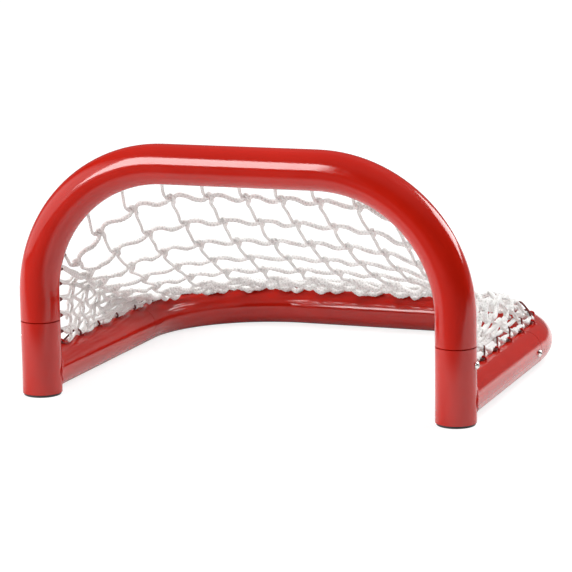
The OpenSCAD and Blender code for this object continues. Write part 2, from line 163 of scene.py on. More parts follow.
def settle():
    """Each knot's place, where the pull of its four cords carries its weight."""
    place, fixed = {}, set()
    for i in range(1, COLUMNS + 1):
        a = beside(tie(i, True), 0, TIE_INSET, TUBE_R + TIE_HEIGHT, True)
        b = beside(tie(i, False), 0, TIE_INSET, TUBE_R + TIE_HEIGHT, False)
        n = ROWS - first_row(i)
        for j in range(first_row(i), ROWS + 1):
            k = j - first_row(i)
            drop = 0 if k in (0, n) else knot_weight(i) / 2 * k * (n - k)
            place[i, j] = a + (b - a) * k / n - np.array([0, 0, drop])
            if k in (0, n):
                fixed.add((i, j))
    for _ in range(SETTLE_STEPS):
        new = dict(place)
        for (i, j) in place:
            if (i, j) in fixed:
                continue
            force, stiff = np.array([0, 0, -knot_weight(i)]), 0.0
            for near, q in (((i - 1, j), ROW_TENSION), ((i + 1, j), ROW_TENSION),
                            ((i, j - 1), 1.0), ((i, j + 1), 1.0)):
                if near in place:
                    force = force + q * place[near]
                    stiff += q
            new[i, j] = force / stiff
        place = new
    return place


KNOTS = settle()


def unit(v):
    return v / np.linalg.norm(v)


def row_dir(i, j):
    """The direction of the net's rows at knot (i, j)."""
    if j in (first_row(i), ROWS):
        is_arch = j == first_row(i)
        s = tie(i, is_arch)
        return unit(beside(s, 1, 0, 0, is_arch) - beside(s, 0, 0, 0, is_arch))
    here = KNOTS[i, j]
    return unit(KNOTS.get((i + 1, j), here) - KNOTS.get((i - 1, j), here))


def column_dir(i, j):
    """The direction from the arch to the base at knot (i, j)."""
    here = KNOTS[i, j]
    return unit(KNOTS.get((i, j + 1), here) - KNOTS.get((i, j - 1), here))


def knot_scale(i, j):
    """1 for a knot with room, and less where the net is crowded."""
    near = [KNOTS[k] for k in ((i - 1, j), (i + 1, j), (i, j - 1), (i, j + 1)) if k in KNOTS]
    room = min(np.linalg.norm(p - KNOTS[i, j]) for p in near)
    return min(1.0, room / 4 / (KNOT_LENGTH / 2))


# ------------------------------------------------------------------------- mesh building

def add_mesh(name, points, faces, smooth=False):
    mesh = bpy.data.meshes.new(name)
    mesh.from_pydata(points, [], faces)
    mesh.polygons.foreach_set("use_smooth", np.full(len(mesh.polygons), smooth))
    mesh.update()
    obj = bpy.data.objects.new(name, mesh)
    bpy.context.scene.collection.objects.link(obj)
    return obj


def smooth_line(points, step, values=None):
    """A centripetal Catmull-Rom curve through the points, as points a step apart, with their
    path lengths. Values given for the points come back for each point of the curve."""
    p = np.array(points, float)
    p = np.vstack([2 * p[0] - p[1], p, 2 * p[-1] - p[-2]])
    dense, index = [], []
    for k in range(1, len(p) - 2):
        p0, p1, p2, p3 = p[k - 1:k + 3]
        t0 = 0.0
        t1 = t0 + max(1e-3, np.linalg.norm(p1 - p0)) ** 0.5
        t2 = t1 + max(1e-3, np.linalg.norm(p2 - p1)) ** 0.5
        t3 = t2 + max(1e-3, np.linalg.norm(p3 - p2)) ** 0.5
        count = max(2, int(np.linalg.norm(p2 - p1) / step * 2) + 1)
        t = np.linspace(t1, t2, count, endpoint=False)[:, None]
        a1 = (t1 - t) / (t1 - t0) * p0 + (t - t0) / (t1 - t0) * p1
        a2 = (t2 - t) / (t2 - t1) * p1 + (t - t1) / (t2 - t1) * p2
        a3 = (t3 - t) / (t3 - t2) * p2 + (t - t2) / (t3 - t2) * p3
        b1 = (t2 - t) / (t2 - t0) * a1 + (t - t0) / (t2 - t0) * a2
        b2 = (t3 - t) / (t3 - t1) * a2 + (t - t1) / (t3 - t1) * a3
        dense.append((t2 - t) / (t2 - t1) * b1 + (t - t1) / (t2 - t1) * b2)
        index.append(k - 1 + (t[:, 0] - t1) / (t2 - t1))
    dense = np.vstack(dense + [p[-2][None]])
    along = np.concatenate([[0], np.cumsum(np.linalg.norm(np.diff(dense, axis=0), axis=1))])
    at = np.linspace(0, along[-1], max(3, int(round(along[-1] / step)) + 1))
    line = np.stack([np.interp(at, along, dense[:, k]) for k in range(3)], axis=1)
    if values is None:
        return line, at
    index = np.concatenate(index + [[len(p) - 3]])
    return line, at, np.interp(np.interp(at, along, index), np.arange(len(values)), values)


class Skin:
    """Collects swept tubes into one mesh, with u round each tube and v along it, in mm."""

    def __init__(self):
        self.points, self.faces, self.uvs, self.count = [], [], [], 0

    def sweep(self, line, at, sides, radius, cap=1.0, turn=0.0):
        """line is the tube's middle and radius(angle, at) its radius. Its ends are rounded
        over a length of cap."""
        n = len(line)
        t = np.gradient(line, axis=0)
        t /= np.linalg.norm(t, axis=1)[:, None]
        ref = np.array([0.0, 0.0, 1.0]) if abs(t[0][2]) < 0.9 else np.array([1.0, 0.0, 0.0])
        u = np.zeros((n, 3))
        u[0] = unit(np.cross(ref, t[0]))
        for k in range(1, n):                      # carried along without turning
            v = u[k - 1] - t[k] * (u[k - 1] @ t[k])
            u[k] = v / np.linalg.norm(v)
        w = np.cross(t, u)
        angle = np.arange(sides) * 2 * math.pi / sides + turn
        a, s = np.meshgrid(angle, at)
        r = radius(a, s)
        end = np.minimum(at - at[0], at[-1] - at)
        r = r * np.sqrt(np.clip(1 - (1 - np.clip(end / cap, 0, 1)) ** 2, 0.02, 1))[:, None]
        ring = (line[:, None, :] + r[:, :, None]
                * (np.cos(a)[:, :, None] * u[:, None, :] + np.sin(a)[:, :, None] * w[:, None, :]))
        base = self.count
        self.points.append(ring.reshape(-1, 3))
        self.count += n * sides
        k, j = np.meshgrid(np.arange(n - 1), np.arange(sides), indexing="ij")
        j2 = (j + 1) % sides
        quads = np.stack([k * sides + j, k * sides + j2, (k + 1) * sides + j2, (k + 1) * sides + j],
                         axis=2).reshape(-1, 4) + base
        self.faces.append(quads)
        uv = np.stack([np.stack([j / sides, (j + 1) / sides, (j + 1) / sides, j / sides], axis=2),
                       np.stack([at[k], at[k], at[k + 1], at[k + 1]], axis=2)], axis=3)
        self.uvs.append(uv.reshape(-1, 2))
        for ring_start, flip in ((base, True), (base + (n - 1) * sides, False)):
            # a fan closes each end; its middle vertex is the ring's centre
            mid = self.count
            self.points.append(line[0 if flip else -1][None])
            self.count += 1
            for q in range(sides):
                e = (q + 1) % sides
                edge = (ring_start + e, ring_start + q) if flip else (ring_start + q, ring_start + e)
                self.faces.append(np.array([[*edge, mid, -1]]))
                v_end = at[0] if flip else at[-1]
                self.uvs.append(np.array([[q / sides, v_end]] * 3))

    def build(self, name):
        points = np.vstack(self.points) * MM
        faces = [tuple(f) if f[3] >= 0 else tuple(f[:3]) for f in np.vstack(self.faces).tolist()]
        obj = add_mesh(name, points.tolist(), faces, smooth=True)
        layer = obj.data.uv_layers.new(name="UVMap")
        layer.data.foreach_set("uv", np.vstack(self.uvs).astype(np.float32).ravel())
        return obj


# ------------------------------------------------------------------------------ materials

def grey(v):
    return (v, v, v)


def material(name):
    m = bpy.data.materials.new(name)
    m.use_nodes = True
    tree = m.node_tree
    tree.nodes.clear()
    out = tree.nodes.new("ShaderNodeOutputMaterial")
    bsdf = tree.nodes.new("ShaderNodeBsdfPrincipled")
    tree.links.new(bsdf.outputs[0], out.inputs[0])
    return m, tree, bsdf


def node(tree, kind, inputs=(), **settings):
    """A node with its settings, and its inputs as values or as the sockets linked to them."""
    n = tree.nodes.new("ShaderNode" + kind)
    for key, value in settings.items():
        setattr(n, key, value)
    for key, value in dict(inputs).items():
        if isinstance(value, bpy.types.NodeSocket):
            tree.links.new(value, n.inputs[key])
        else:
            n.inputs[key].default_value = value
    return n


def math_node(tree, operation, a, b=0.0):
    return node(tree, "Math", {0: a, 1: b}, operation=operation).outputs[0]


def noise(tree, vector, scale, detail=3.0, roughness=0.5):
    return node(tree, "TexNoise", {"Vector": vector, "Scale": scale, "Detail": detail,
                                   "Roughness": roughness}).outputs["Fac"]


def ramp(tree, fac, stops):
    """A colour for fac, blended between the stops (place, colour)."""
    n = node(tree, "ValToRGB", {"Fac": fac})
    while len(n.color_ramp.elements) < len(stops):
        n.color_ramp.elements.new(0.5)
    for e, (at, colour) in zip(n.color_ramp.elements, stops):
        e.position, e.color = at, (*colour, 1)
    return n.outputs["Color"]


def bump(tree, height, strength, distance, normal=None):
    inputs = {"Height": height, "Strength": strength, "Distance": distance}
    if normal is not None:
        inputs["Normal"] = normal
    return node(tree, "Bump", inputs).outputs["Normal"]


def paint(name, deep, light):
    """Gloss enamel over steel: an even coat with a faint orange peel and a few dull rubs."""
    m, tree, bsdf = material(name)
    at = node(tree, "TexCoord").outputs["Object"]
    cloud = noise(tree, at, 14.0, 4.0)
    tree.links.new(ramp(tree, cloud, [(0.3, deep), (0.7, light)]), bsdf.inputs["Base Color"])
    rubs = ramp(tree, noise(tree, at, 55.0, 6.0, 0.62), [(0.35, grey(0.09)), (0.75, grey(0.17))])
    tree.links.new(rubs, bsdf.inputs["Roughness"])
    peel = noise(tree, at, 900.0, 2.0)
    wave = noise(tree, at, 130.0, 2.0)
    n = bump(tree, peel, 0.10, 0.00010)
    tree.links.new(bump(tree, wave, 0.10, 0.00035, n), bsdf.inputs["Normal"])
    bsdf.inputs["IOR"].default_value = 1.5
    return m


def braid_height(tree, yarns, pitch):
    """Ridges of a round braid from the tube's UV: two families of yarns that cross."""
    uv = node(tree, "SeparateXYZ", {0: node(tree, "TexCoord").outputs["UV"]})
    around = math_node(tree, "MULTIPLY", uv.outputs[0], yarns * 2 * math.pi)
    along = math_node(tree, "MULTIPLY", uv.outputs[1], 2 * math.pi / pitch)
    one = math_node(tree, "COSINE", math_node(tree, "ADD", around, along))
    other = math_node(tree, "COSINE", math_node(tree, "SUBTRACT", around, along))
    return math_node(tree, "MAXIMUM", one, other)


def net_material():
    m, tree, bsdf = material("net_cord_polyester")
    ridge = braid_height(tree, BRAID_YARNS, BRAID_PITCH)
    fine = braid_height(tree, FINE_YARNS, FINE_PITCH)
    at = node(tree, "TexCoord").outputs["Object"]
    cloud = noise(tree, at, 30.0, 3.0)
    # Painted shade: the cord's colour is darker in the grooves between the braid's yarns, mixed with a random
    # tone from the cloud.
    painted_groove_shade_and_tone = math_node(tree, "ADD", math_node(tree, "MULTIPLY", ridge, 0.32),
                      math_node(tree, "MULTIPLY", fine, 0.10))
    painted_groove_shade_and_tone = math_node(tree, "ADD", painted_groove_shade_and_tone, math_node(tree, "MULTIPLY", cloud, 0.5))
    colour = ramp(tree, painted_groove_shade_and_tone, [(0.02, (0.72, 0.71, 0.69)), (0.28, (0.90, 0.89, 0.87)),
                                (0.60, (0.97, 0.96, 0.94))])
    tree.links.new(colour, bsdf.inputs["Base Color"])
    n = bump(tree, ridge, 0.55, 0.0004)
    n = bump(tree, fine, 0.30, 0.00012, n)
    tree.links.new(bump(tree, noise(tree, at, 1800.0, 2.0), 0.2, 0.0001, n), bsdf.inputs["Normal"])
    bsdf.inputs["Roughness"].default_value = 0.72
    bsdf.inputs["Sheen Weight"].default_value = 0.5
    bsdf.inputs["Sheen Roughness"].default_value = 0.5
    return m


def lace_material():
    m, tree, bsdf = material("lace_waxed_cord")
    uv = node(tree, "SeparateXYZ", {0: node(tree, "TexCoord").outputs["UV"]})
    around = math_node(tree, "MULTIPLY", uv.outputs[0], LACE_YARNS * 2 * math.pi)
    along = math_node(tree, "MULTIPLY", uv.outputs[1], 2 * math.pi / LACE_YARN_PITCH)
    twist = math_node(tree, "COSINE", math_node(tree, "ADD", around, along))
    at = node(tree, "TexCoord").outputs["Object"]
    cloud = noise(tree, at, 60.0, 4.0)
    # Painted shade: the lace's colour is darker in the grooves of its twist, mixed with a random tone from
    # the cloud.
    painted_groove_shade_and_tone = math_node(tree, "ADD", math_node(tree, "MULTIPLY", twist, 0.18), cloud)
    colour = ramp(tree, painted_groove_shade_and_tone, [(0.25, (0.050, 0.004, 0.003)), (0.75, (0.20, 0.015, 0.010))])
    tree.links.new(colour, bsdf.inputs["Base Color"])
    tree.links.new(bump(tree, twist, 0.5, 0.00015), bsdf.inputs["Normal"])
    bsdf.inputs["Roughness"].default_value = 0.55
    bsdf.inputs["Specular IOR Level"].default_value = 0.3
    return m


def plastic_material():
    m, tree, bsdf = material("cap_polyethylene")
    at = node(tree, "TexCoord").outputs["Object"]
    colour = ramp(tree, noise(tree, at, 90.0, 4.0), [(0.3, grey(0.012)), (0.75, grey(0.028))])
    tree.links.new(colour, bsdf.inputs["Base Color"])
    tree.links.new(bump(tree, noise(tree, at, 1500.0, 3.0), 0.3, 0.0001), bsdf.inputs["Normal"])
    bsdf.inputs["Roughness"].default_value = 0.5
    return m


def zinc_material():
    m, tree, bsdf = material("screw_zinc")
    at = node(tree, "TexCoord").outputs["Object"]
    mottled = noise(tree, at, 700.0, 4.0)
    colour = ramp(tree, mottled, [(0.3, (0.62, 0.62, 0.60)), (0.7, (0.86, 0.86, 0.84))])
    tree.links.new(colour, bsdf.inputs["Base Color"])
    tree.links.new(ramp(tree, mottled, [(0.3, grey(0.18)), (0.7, grey(0.34))]),
                   bsdf.inputs["Roughness"])
    bsdf.inputs["Metallic"].default_value = 1.0
    return m


RED = paint("red_enamel", (0.46, 0.0092, 0.0028), (0.51, 0.0120, 0.0042))
RED_THICK = paint("red_enamel_on_weld", (0.44, 0.0060, 0.0025), (0.52, 0.0080, 0.0035))
BLACK, ZINC, NET, LACE = plastic_material(), zinc_material(), net_material(), lace_material()


def dress(names, m):
    """Gives CAD pieces their material."""
    for name in names:
        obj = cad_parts[name]
        obj.data.materials.clear()
        obj.data.materials.append(m)


dress(["front_arch", "left_leg", "right_leg", "left_arm", "right_arm", "back_frame"], RED)
dress(["arch_eyelets", "leg_eyelets", "arm_eyelets", "back_eyelets"], RED_THICK)
dress(["left_foot_cap", "right_foot_cap"], BLACK)
dress(["left_leg_screw", "right_leg_screw", "left_arm_screw", "right_arm_screw"], ZINC)


def finish_piece(obj, m, slot, *nodes):
    """Gives a piece made here its material and attaches it to the root body. It may stand in for CAD nodes,
    which it hides.
    """
    obj.data.materials.append(m)
    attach(obj, "root")
    if nodes:
        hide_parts(*nodes)
    return obj


# ------------------------------------------------------------------------------------ net

# Radii of the cords along a row, down a column, in a joint, tied at an edge, and gathered
ROW_CORD_R, COLUMN_CORD_R, JOINT_CORD_R, TIED_CORD_R, GATHERED_CORD_R = 2.65, 1.75, 2.25, 1.6, 2.2
CORD_STEP, CORD_SIDES, CORD_CAP = 0.75, 12, 1.2
CORD_REST = TUBE_R + 2.4            # from the tube's axis to a slack cord that rests on it

# The way of a cord through a joint with room, as (along the row, down the column, out of the
# net). One comes down from the row before and leaves along the row. The other comes from the
# row's left and leaves down the column. They hook round each other.
FROM_ABOVE = [(-3.2, -4.4, 0.0), (-1.9, -2.5, -0.8), (0.1, 0.2, -1.0), (2.2, -0.5, 0.0),
              (4.3, -2.2, 0.5), (7.4, -2.8, 0.2)]
FROM_LEFT = [(-7.2, 3.7, 0.2), (-4.3, 3.2, 0.6), (-2.5, 1.6, 1.1), (-1.4, -1.5, 1.4), (0.3, -3.3, 1.0),
             (1.4, -1.5, 0.0), (0.9, 2.0, -0.8), (-0.5, 4.8, -0.5), (-1.8, 6.8, 0.0)]
# At an edge knot both run side by side under the lace
TIED_ABOVE = [(-3.4, -0.7, -0.3), (0.0, -0.75, -0.35), (3.4, -0.8, -0.3)]
TIED_LEFT = [(-3.4, 0.7, 0.3), (0.0, 0.75, 0.35), (3.4, 0.8, 0.3)]
TIGHT_JOINT, WIDE_JOINT, JOINT_VARIES, LAST_WIDE_COLUMN = 0.55, 1.15, 0.25, 17

# The slack net stands up at the right back corner: how far, at which column and row, and how wide
CORNER_RISE, CORNER_COLUMN, CORNER_ROW, CORNER_COLUMNS, CORNER_ROWS = 20, 16.8, 7.0, 2.1, 1.9
# The cords of the left side are thinner: the share of their radius up to a column, and the
# number of columns over which they come to the full one
LEFT_SHARE, LEFT_COLUMN, LEFT_FADE = 0.72, 4, 2

# The slack of a cord between two joints, as shares of its span. Down a column it is one bend.
COLUMN_SLACK, LOW_COLUMN_SLACK, LOW_ROW, COLUMN_DROP = 0.03, 0.10, 6, 0.6
# In the upper rows it is two bends, as (share of the way, aside, share of the sag). The lowest
# of these rows sag most.
ROW_BENDS = ((0.26, -0.05, 0.75), (0.70, 0.08, 1.0))
ROW_SAGS, FIRST_SAG_ROW, SAG_VARIES, ROW_SLACK = (0.02, 0.06, 0.20), 4, 0.4, 0.03
# In the rows next to the tube it is three hanging bends, as (share of the way, drop in mm)
BENDS = ((0.25, 3.0), (0.55, 6.0), (0.80, 3.0))
FIRST_BENT_ROW, BEND_SHARE, BEND_ASIDE = 7, 0.7, 1.5
# The last row lies on the tube's inner side, at these angles off its crest in radians. Over the
# arms it lies nearly on the crest.
DRAPE_ANGLES = (0.28, 0.56, 0.46, 0.60, 0.32)
DRAPE_VARIES, DRAPE_STEP, DRAPE_GAP, DRAPE_LIFT = 0.16, 0.15, 0.4, 1.2
BACK_COLUMNS, OVER_ARM = range(8, 18), 0.3

# The slack rows that lie gathered along the base, as (row above, share of the way to the next,
# first column, last column). Their cord strays and zigzags down the columns, and out of the net.
GATHERED = [(6, 0.32, 5, 14), (6, 0.70, 4, 15), (7, 0.35, 4, 16), (7, 0.72, 3, 16),
            (8, 0.30, 3, 16), (8, 0.62, 2, 17), (7, 0.55, 17, 21), (8, 0.50, 18, 22)]
GATHERED_STRAY, GATHERED_ZIGZAG, GATHERED_LIFT, EDGE_PITCH = 2.2, 1.6, 1.5, 30

DOWN = np.array([0, 0, -1.0])
BASE_LINE = np.array([beside(s, 0, 0, 0, False) for s in np.linspace(0, BASE_LEN, 500)])
wobble = np.random.default_rng(11)


def off_tube(p):
    """The point itself, or pushed out to where a cord lies on the base's tube."""
    away = p - BASE_LINE
    nearest = np.argmin(np.linalg.norm(away, axis=1))
    if np.linalg.norm(away[nearest]) > CORD_REST:
        return p
    return BASE_LINE[nearest] + CORD_REST * unit(away[nearest])


def bunched(i, j):
    """How far the slack net stands up at the right back corner, in mm."""
    if j == ROWS:
        return 0.0
    across, down = (i - CORNER_COLUMN) / CORNER_COLUMNS, (j - CORNER_ROW) / CORNER_ROWS
    return CORNER_RISE * math.exp(-across ** 2 - down ** 2)


def joint_size(i, j):
    """How wide a joint with room is: tight on the right side, and uneven elsewhere."""
    if bunched(i, j) > 1.5 or i > LAST_WIDE_COLUMN:
        return TIGHT_JOINT
    return WIDE_JOINT + JOINT_VARIES * math.sin(3.1 * i + 1.7 * j) ** 2


def through_knot(i, j, above):
    """Points of a cord's way through knot (i, j) and its radii there, in mm."""
    p = KNOTS[i, j] + np.array([0, 0, bunched(i, j)])
    r, c = row_dir(i, j), column_dir(i, j)
    c = unit(c - r * (c @ r))
    n = np.cross(r, c)
    if j in (first_row(i), ROWS):
        way = TIED_ABOVE if above else TIED_LEFT
        return [p + x * r + y * c + z * n for x, y, z in way], [TIED_CORD_R] * len(way)
    way = FROM_ABOVE if above else FROM_LEFT
    first, last = (COLUMN_CORD_R, ROW_CORD_R) if above else (ROW_CORD_R, COLUMN_CORD_R)
    radii = [first] + [JOINT_CORD_R] * (len(way) - 2) + [last]
    if above and (i, j - 1) not in KNOTS:
        way, radii = way[1:], radii[1:]
    if not above and (i - 1, j) not in KNOTS:
        way, radii = way[2:], radii[2:]
    k = knot_scale(i, j) * joint_size(i, j)
    return [p + k * (x * r + y * c + z * n) for x, y, z in way], radii


def draped(i):
    """The last row's cord, slack on the inner side of the tube between two of its ties."""
    s = (tie(i - 1, False) + tie(i, False)) / 2
    points = []
    for k, angle in enumerate(DRAPE_ANGLES):
        angle *= (1 + DRAPE_VARIES * wobble.uniform(-1, 1)) * (1.0 if i in BACK_COLUMNS else OVER_ARM)
        out = TUBE_R + ROW_CORD_R + DRAPE_GAP + DRAPE_LIFT * wobble.uniform(0, 1)
        points.append(beside(s + (k - 2) * DRAPE_STEP * BASE_PITCH, 0, out * math.sin(angle),
                             out * math.cos(angle), False))
    return points


def between(i, j, a, b, above):
    """Points of a cord's way from a to b, where its joint before (i, j) ends and (i, j) starts."""
    span = np.linalg.norm(b - a)
    if span < 5:
        return []
    c = column_dir(i, j)
    shift = wobble.uniform(-1, 1, (2, 3))
    if above:
        slack = COLUMN_SLACK if j < LOW_ROW else LOW_COLUMN_SLACK
        return [off_tube((a + b) / 2 + slack * span * (shift[0] + COLUMN_DROP * DOWN))]
    if j == ROWS:
        return draped(i)
    if j == first_row(i):
        return [(a + b) / 2 + ROW_SLACK * span * shift[0]]
    if j < FIRST_BENT_ROW:
        sag = ROW_SAGS[max(0, j - FIRST_SAG_ROW)] * (1 + SAG_VARIES * shift[0][2])
        return [off_tube(a + (b - a) * t
                         + span * (ROW_SLACK * shift[k] + aside * c + share * sag * DOWN))
                for k, (t, aside, share) in enumerate(ROW_BENDS)]
    bends = []
    for t, drop in BENDS:
        drop *= (1.0 if j == ROWS - 1 else BEND_SHARE) * wobble.uniform(0.7, 1.3)
        bends.append(off_tube(a + (b - a) * t + drop * DOWN + BEND_ASIDE * wobble.uniform(-1, 1) * c))
    return bends


def slim(i):
    """The share of their full radius that the cords of column i have."""
    return LEFT_SHARE + (1 - LEFT_SHARE) * min(1.0, max(0.0, (i - LEFT_COLUMN) / LEFT_FADE))


def strand(i, j, above):
    """A cord's whole way down the net as a staircase, from the joint where it starts, with
    its radius at each point."""
    points, radii = [], []
    while (i, j) in KNOTS:
        here, thick = through_knot(i, j, above)
        if points:
            extra = between(i, j, points[-1], here[0], above)
            points += extra
            radii += [slim(i) * (COLUMN_CORD_R if above else ROW_CORD_R)] * len(extra)
        points += here
        radii += [slim(i) * r for r in thick]
        i, j = (i + 1, j) if above else (i, j + 1)
        above = not above
    return points, radii


def gathered_row(j, share, first, last):
    """The way of a slack row's cord between row j and the next."""
    points = []
    for i in range(first, last + 1):
        if (i, j) not in KNOTS or (i, j + 1) not in KNOTS:
            continue
        middle = KNOTS[i, j] * (1 - share) + KNOTS[i, j + 1] * share
        r, c = row_dir(i, j), column_dir(i, j)
        pitch = EDGE_PITCH
        if (i - 1, j + 1) in KNOTS:
            pitch = np.linalg.norm(KNOTS[i, j + 1] - KNOTS[i - 1, j + 1])
        for k in range(3):
            away = wobble.uniform(-1, 1, 3)
            down = GATHERED_STRAY * away[0] + GATHERED_ZIGZAG * (-1) ** k
            points.append(off_tube(middle + (k - 1) * pitch / 3 * r + down * c
                                   + GATHERED_LIFT * away[1] * np.cross(r, c)))
    return points


def braid(angle, s):
    """The radius of a braided cord, as a share of its full one."""
    way = s * 2 * math.pi / BRAID_PITCH
    return 0.90 + 0.13 * np.maximum(np.cos(BRAID_YARNS * angle + way), np.cos(BRAID_YARNS * angle - way))


def make_net():
    skin = Skin()
    for row in GATHERED:
        line, at = smooth_line(gathered_row(*row), CORD_STEP)
        skin.sweep(line, at, CORD_SIDES, lambda a, s: GATHERED_CORD_R * braid(a, s), CORD_CAP, turn=0.3)
    for (i, j) in sorted(KNOTS):
        for above in (True, False):
            if ((i, j - 1) if above else (i - 1, j)) in KNOTS:
                continue                    # this cord came in from a joint before
            points, radii = strand(i, j, above)
            line, at, thick = smooth_line(points, CORD_STEP, radii)
            skin.sweep(line, at, CORD_SIDES, lambda a, s: thick[:, None] * braid(a, s), CORD_CAP,
                       turn=wobble.uniform(0, 1))
    return skin.build("hung_net")


finish_piece(make_net(), NET, "net_cord", "net")

# ---------------------------------------------------------------------------------- laces

EYELET_CENTRE = TUBE_R + (EYELET_LEG + EYELET_R - EYELET_WIRE_R) / 2
EYELET_PASS = EYELET_WIRE_R + LACE_R
WRAP_R, WRAP_ALONG = CORD_HALF + LACE_R + LACE_CLEARANCE, 2.5
END_KNOT_R = 2.2 * LACE_R
END_KNOT_OUT = TUBE_R + END_KNOT_R + LACE_CLEARANCE
LACE_STEP, LACE_SIDES = 0.55, 12


def up_side(i):
    """Which way the lace turns round edge knot i."""
    return 1 if u_point(tie(i, False), BASE_STRAIGHT)[2] < -math.pi / 4 else -1


def lace_route(is_arch):
    """The CAD's route: straight through each eyelet, and half a turn round each edge knot."""
    def through_eyelet(k):
        return [beside(eyelet_at(k, is_arch), a, 0, EYELET_CENTRE, is_arch)
                for a in (-EYELET_PASS, 0, EYELET_PASS)]

    up = TUBE_R + TIE_HEIGHT
    away = unit(np.array([TIE_INSET, up - EYELET_CENTRE]))
    points = [beside(eyelet_at(1, is_arch), -4.0, 0, END_KNOT_OUT, is_arch)]
    points += through_eyelet(1)
    for i in range(1, COLUMNS + 1):
        for angle in np.radians(np.arange(0, 181, 22.5)):
            a, b = WRAP_R * math.sin(angle), -up_side(i) * WRAP_R * math.cos(angle)
            points.append(beside(tie(i, is_arch), WRAP_ALONG * (angle / (math.pi / 2) - 1),
                                 TIE_INSET + a * away[0] - b * away[1],
                                 up + a * away[1] + b * away[0], is_arch))
        points += through_eyelet(i + 1)
    points.append(beside(eyelet_at(EYELETS, is_arch), 4.0, 0, END_KNOT_OUT, is_arch))
    return points


def twisted(angle, s):
    """The radius of the twisted lace."""
    return LACE_R * (0.90 + 0.11 * np.abs(np.cos(LACE_PLIES / 2 * angle + s * math.pi / LACE_PLY_PITCH)))


def stopper(skin, s, sign, is_arch):
    """The knot at a lace's end: two tight turns of the cord and a short tail."""
    def at(along, inside, out):
        return beside(s, sign * along, inside, END_KNOT_OUT + out, is_arch)

    start, pitch, turn_r = 3.6, 0.5, 1.25
    turns = [at(start + pitch * k / 8, turn_r * math.cos(k * math.pi / 4), turn_r * math.sin(k * math.pi / 4))
             for k in range(17)]
    tail = [at(5.6, 0.3, 0.4), at(7.4, -0.2, 0.1)]
    line, along = smooth_line(turns + tail, 0.4)
    skin.sweep(line, along, LACE_SIDES, lambda a, t: 0.9 * twisted(a, t), cap=0.8)


for lace_name, lace_is_arch in (("arch_lacing", True), ("base_lacing", False)):
    skin = Skin()
    line, at = smooth_line(lace_route(lace_is_arch), LACE_STEP)
    skin.sweep(line, at, LACE_SIDES, twisted, cap=0.6)
    stopper(skin, eyelet_at(1, lace_is_arch), -1, lace_is_arch)
    stopper(skin, eyelet_at(EYELETS, lace_is_arch), 1, lace_is_arch)
    finish_piece(skin.build(lace_name), LACE, "lace_cord", lace_name.replace("lacing", "lace"))

# ---------------------------------------------------------------------------------- welds

BEAD_R, BEAD_LIFT, BEAD_BEHIND = 1.25, 0.1, 0.5
# A collar's rings from its foot up, as (radius, height above the tube)
COLLAR = [(2.1, -0.5), (1.9, 0.25), (1.45, 0.7), (0.9, 0.95)]
WELD_SIDES = 12


def weld_ring(side):
    """The middle of the bead round an arm's coped end."""
    r = TUBE_R + BEAD_LIFT
    line = np.array([[side * LEG_X + r * math.cos(a),
                      FRONT_Y + max(ARM_START, TUBE_R * abs(math.sin(a))) + BEAD_BEHIND,
                      ARM_Z + r * math.sin(a)] for a in np.linspace(0, 2 * math.pi, 240, endpoint=False)])
    for _ in range(3):                      # the cope's corners are rounded
        line = (np.roll(line, 1, axis=0) + 2 * line + np.roll(line, -1, axis=0)) / 4
    return line


def add_bead(side, points, faces):
    """The bead round an arm's coped end, with the ripples of a hand weld under the paint."""
    line = weld_ring(side)
    n, start = len(line), len(points)
    t = np.roll(line, -1, axis=0) - np.roll(line, 1, axis=0)
    t /= np.linalg.norm(t, axis=1)[:, None]
    u = (line - np.array([side * LEG_X, 0, ARM_Z])) * np.array([1, 0, 1])
    u -= t * (u * t).sum(1)[:, None]
    u /= np.linalg.norm(u, axis=1)[:, None]
    w = np.cross(t, u)
    for k in range(n):
        r = BEAD_R * (1 + 0.10 * abs(math.sin(k * math.pi / 4)) + 0.05 * math.sin(k * 0.37))
        for q in range(WELD_SIDES):
            angle = 2 * math.pi * q / WELD_SIDES
            points.append((line[k] + r * (math.cos(angle) * u[k] + math.sin(angle) * w[k])) * MM)
            e = (q + 1) % WELD_SIDES
            a, b = start + k * WELD_SIDES, start + (k + 1) % n * WELD_SIDES
            faces.append((a + q, b + q, b + e, a + e))


def add_collar(k, is_arch, foot, points, faces):
    """A small collar of weld at one foot of eyelet k."""
    start = len(points)
    surface = math.sqrt(TUBE_R ** 2 - EYELET_R ** 2)
    for ring, (r, out) in enumerate(COLLAR):
        for q in range(WELD_SIDES):
            angle = 2 * math.pi * q / WELD_SIDES
            inside = foot * EYELET_R + r * math.cos(angle)
            along = r * math.sin(angle) * (1 + 0.08 * math.sin(3 * angle + k))
            drop = math.sqrt(TUBE_R ** 2 - inside ** 2) - surface
            points.append(beside(eyelet_at(k, is_arch), along, inside, surface + out + drop, is_arch) * MM)
            if ring:
                e = (q + 1) % WELD_SIDES
                a, b = start + (ring - 1) * WELD_SIDES, start + ring * WELD_SIDES
                faces.append((a + q, a + e, b + e, b + q))
    faces.append(tuple(start + (len(COLLAR) - 1) * WELD_SIDES + q for q in range(WELD_SIDES)))


def make_welds():
    points, faces = [], []
    for side in (-1, 1):
        add_bead(side, points, faces)
    for is_arch in (True, False):
        for k in range(1, EYELETS + 1):
            for foot in (-1, 1):
                add_collar(k, is_arch, foot, points, faces)
    return add_mesh("weld_beads", [tuple(p) for p in points], faces, smooth=True)


finish_piece(make_welds(), RED_THICK, "red_paint")

# ------------------------------------------------------------------ floor, lights, camera

FLOOR_HALF = 9.0


def seen_through(tree, path):
    """1 for rays that come straight from the camera or through something clear."""
    return math_node(tree, "MAXIMUM", path.outputs["Is Camera Ray"], path.outputs["Is Transmission Ray"])


